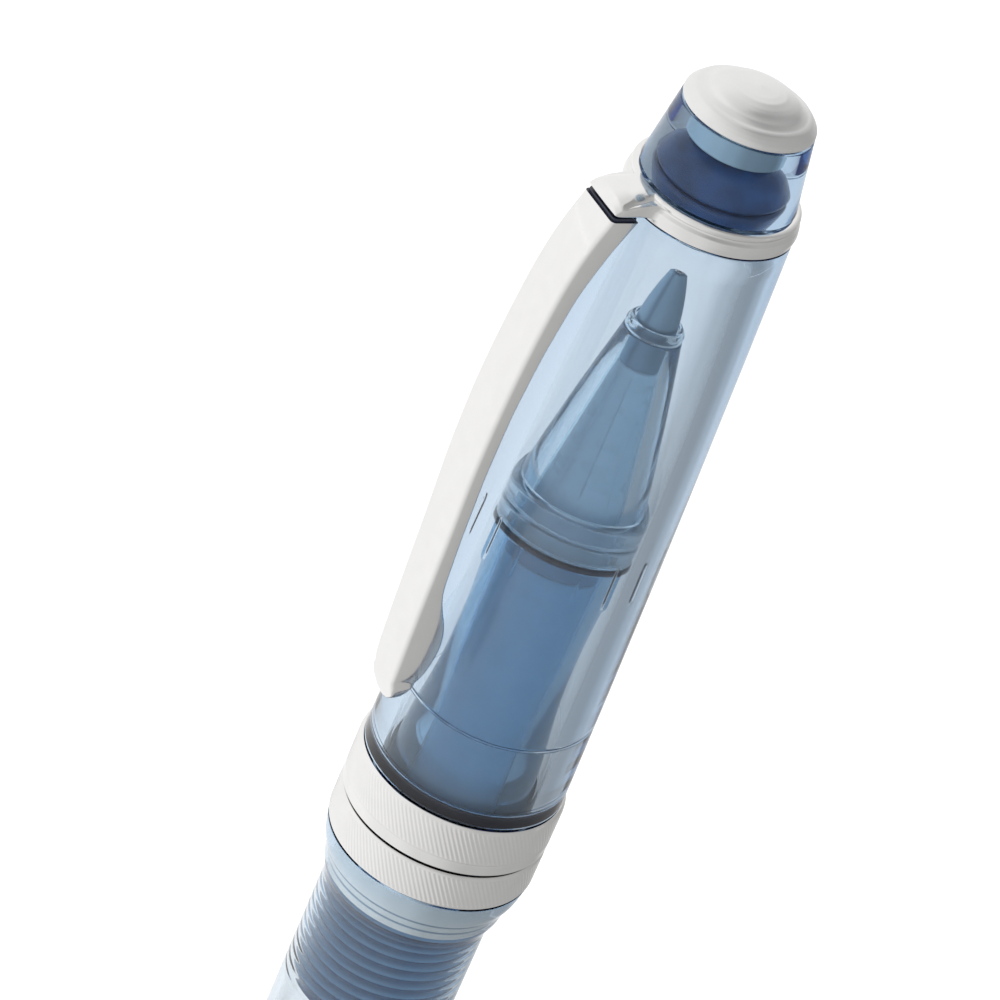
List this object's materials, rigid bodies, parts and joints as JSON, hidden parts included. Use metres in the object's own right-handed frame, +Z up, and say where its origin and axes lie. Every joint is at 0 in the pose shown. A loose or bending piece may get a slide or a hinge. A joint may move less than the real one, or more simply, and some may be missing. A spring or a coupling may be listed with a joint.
{
  "type": "gel pen",
  "caption": "Capped gel pen with a clear pale blue resin cap and barrel, knurled plated bands, a plated spring clip and a satin domed cap top.",
  "frame": {"origin": "centre of the flat end face of the barrel plug, on the pen's axis", "axes": "+Z up the pen's axis from the barrel's end to the cap's top; -Y is the side the clip is on"},
  "size_m": [0.013, 0.0159, 0.1373],
  "materials": {
    "clear_resin": "clear, polished, pale blue tint",
    "blue_resin": "clear, polished, blue tint",
    "dark_resin": "clear, polished, dark blue tint",
    "pale_blue_plastic": "smooth, pale blue",
    "black_plastic": "smooth, black",
    "plating": "bright plating",
    "satin_metal": "satin",
    "steel": "fine ground",
    "carbide": "polished",
    "ink": "wet, dark blue",
    "grease": "soft, cloudy"
  },
  "bodies": {
    "barrel": {"barrel_shell": "clear_resin", "barrel_plug": "satin_metal"},
    "spring": {"refill_spring": "steel"},
    "section": {"section_body": "blue_resin", "thread_sleeve": "dark_resin", "section_band": "plating", "cap_seal": "black_plastic", "grip_collar": "blue_resin", "grip_ring": "dark_resin", "nose_cone": "blue_resin", "nose_ring": "blue_resin"},
    "refill": {"refill_tube": "pale_blue_plastic", "refill_ink": "ink", "refill_follower": "grease", "refill_rear_plug": "pale_blue_plastic", "refill_tip_holder": "pale_blue_plastic", "refill_tip": "steel"},
    "ball": {"refill_ball": "carbide"},
    "insert": {"cap_insert": "black_plastic"},
    "cap": {"cap_shell": "clear_resin", "cap_liner": "clear_resin", "cap_band": "plating", "clip_ring": "plating", "finial_base": "dark_resin", "finial_stem": "satin_metal", "finial_collar": "clear_resin", "finial_dome": "satin_metal"},
    "clip": {"clip_arm": "plating"}
  },
  "joints": [
    {"name": "section_advance", "type": "slide", "parent": "barrel", "child": "spring", "axis": [0, 0, 1], "range_m": [0, 0.00675], "deforming": ["refill_spring"]},
    {"name": "section_unscrew", "type": "hinge", "parent": "spring", "child": "section", "pos_m": [0, 0, 0.085], "axis": [0, 0, 1], "range_deg": [0, 3240]},
    {"name": "refill_cushion", "type": "slide", "parent": "section", "child": "refill", "axis": [0, 0, 1], "range_m": [-0.0015, 0], "stiffness_N_per_m": 400, "springref_m": 0.001, "deforming": ["refill_spring"]},
    {"name": "ball_roll", "type": "hinge", "parent": "refill", "child": "ball", "pos_m": [0, 0, 0.1249], "axis": [1, 0, 0], "continuous": true},
    {"name": "cap_pull", "type": "slide", "parent": "section", "child": "insert", "axis": [0, 0, 1], "range_m": [0, 0.045]},
    {"name": "cap_turn", "type": "hinge", "parent": "insert", "child": "cap", "pos_m": [0, 0, 0.105], "axis": [0, 0, 1], "continuous": true},
    {"name": "clip_flex", "type": "hinge", "parent": "cap", "child": "clip", "pos_m": [0, -0.00595, 0.1296], "axis": [-1, 0, 0], "range_deg": [0, 6], "stiffness_Nm_per_rad": 1.2, "springref_deg": -1.72}
  ],
  "couplings": [
    {"joint": "section_unscrew", "follows": "section_advance", "rad_per_m": 8377.6}
  ]
}
